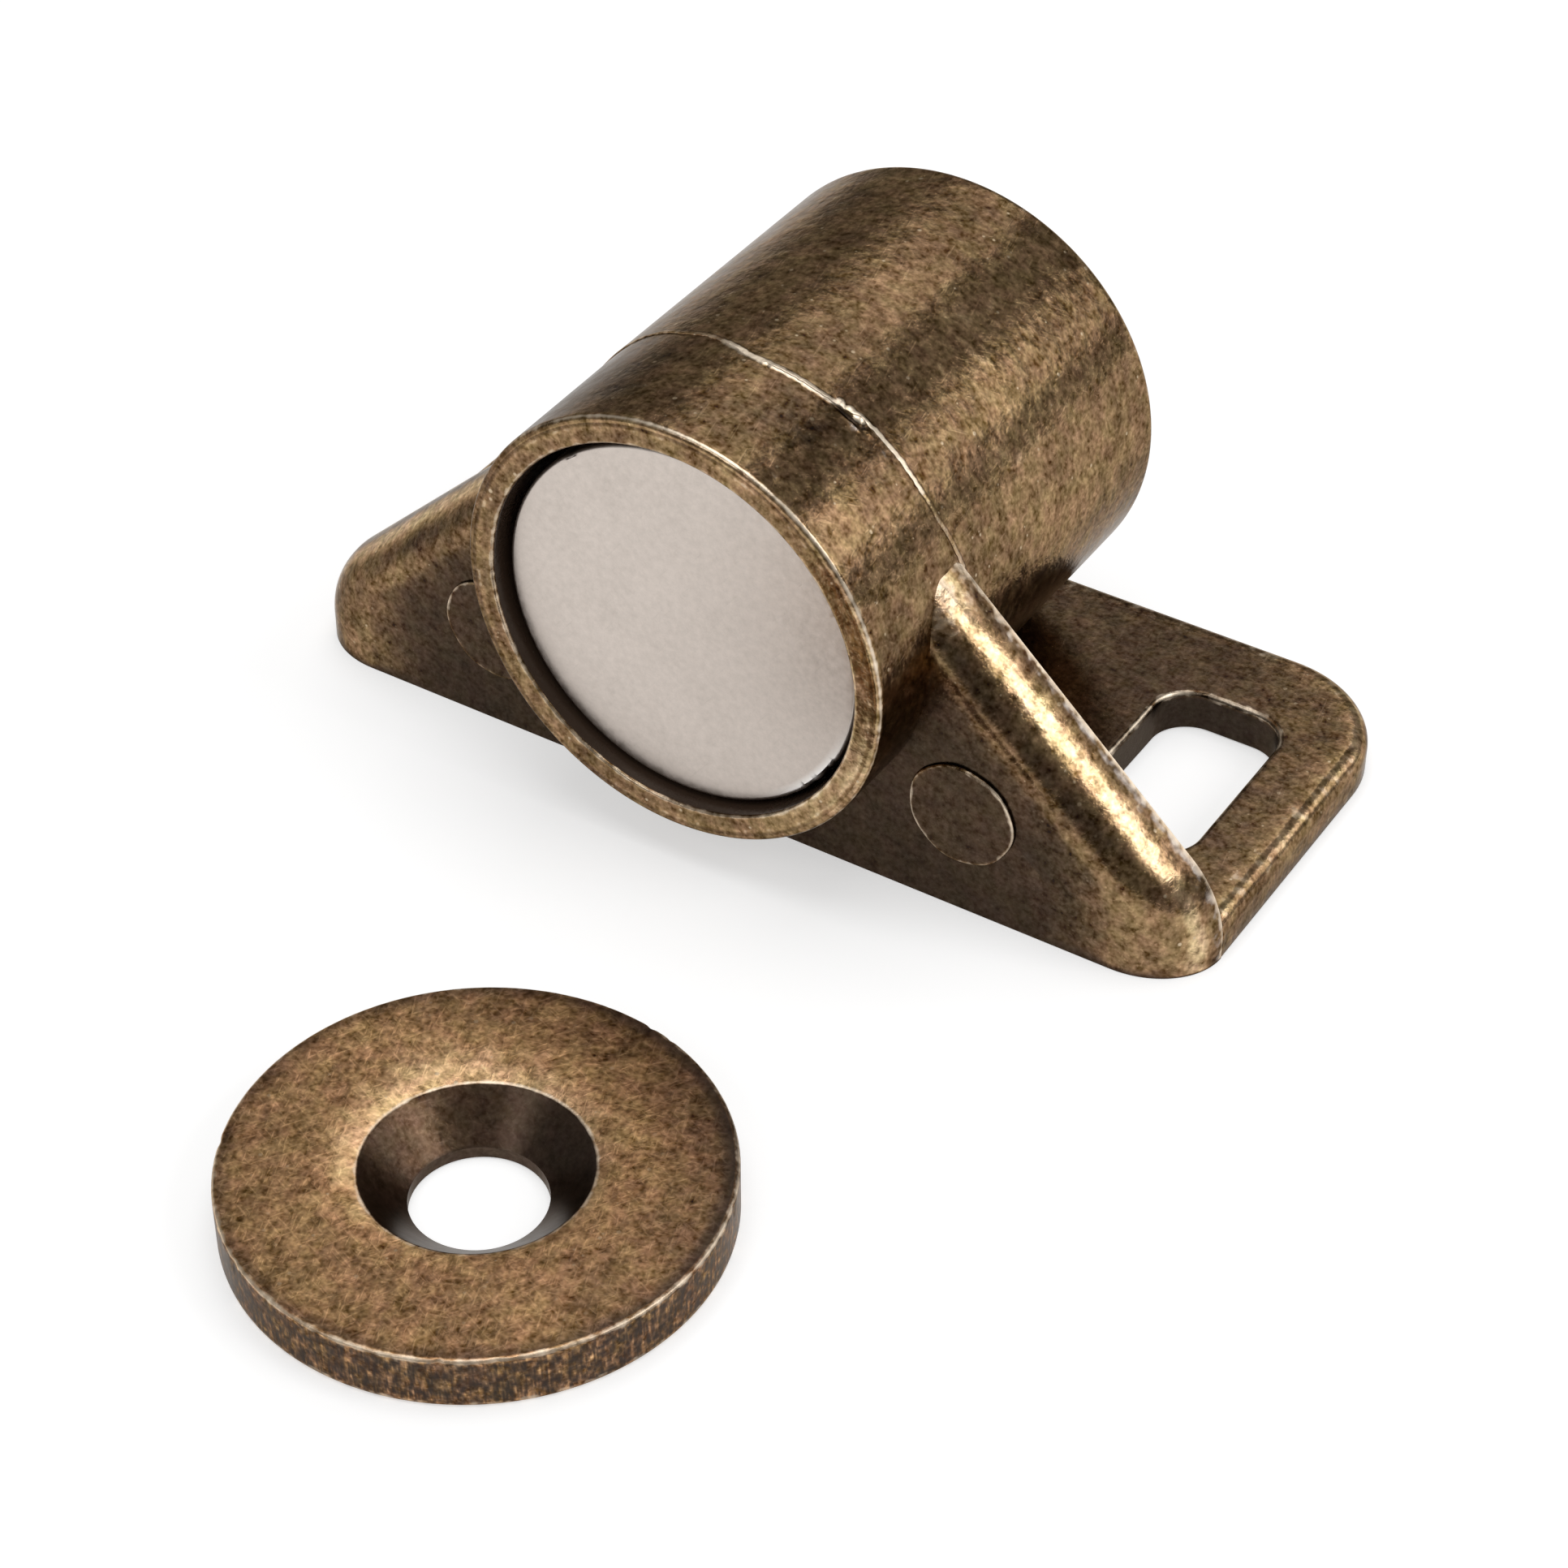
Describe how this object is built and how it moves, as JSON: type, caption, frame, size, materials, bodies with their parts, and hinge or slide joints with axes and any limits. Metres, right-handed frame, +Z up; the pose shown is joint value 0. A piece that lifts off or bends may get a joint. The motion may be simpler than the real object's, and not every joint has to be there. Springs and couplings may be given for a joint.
{
  "type": "magnetic catch",
  "caption": "Magnetic cabinet catch: die-cast barrel holding a round magnet, on a slotted screw base with triangular webs, and a loose countersunk strike disc.",
  "frame": {"origin": "on the mounting face, in the middle of the base's length, in the casting's parting plane where web and plate meet", "axes": "+Z up from the mounting face, -Y out of the barrel's mouth towards the door, +X along the base"},
  "size_m": [0.0338, 0.0416, 0.0165],
  "materials": {
    "bronzed_zinc": "antique bronze plating, relieved to gold on the edges",
    "magnet_plate": "matt nickel",
    "bronzed_steel": "antique bronze plating, brushed"
  },
  "bodies": {
    "root": {"housing": "bronzed_zinc", "magnet": "magnet_plate", "strike_disc": "bronzed_steel"}
  },
  "joints": []
}
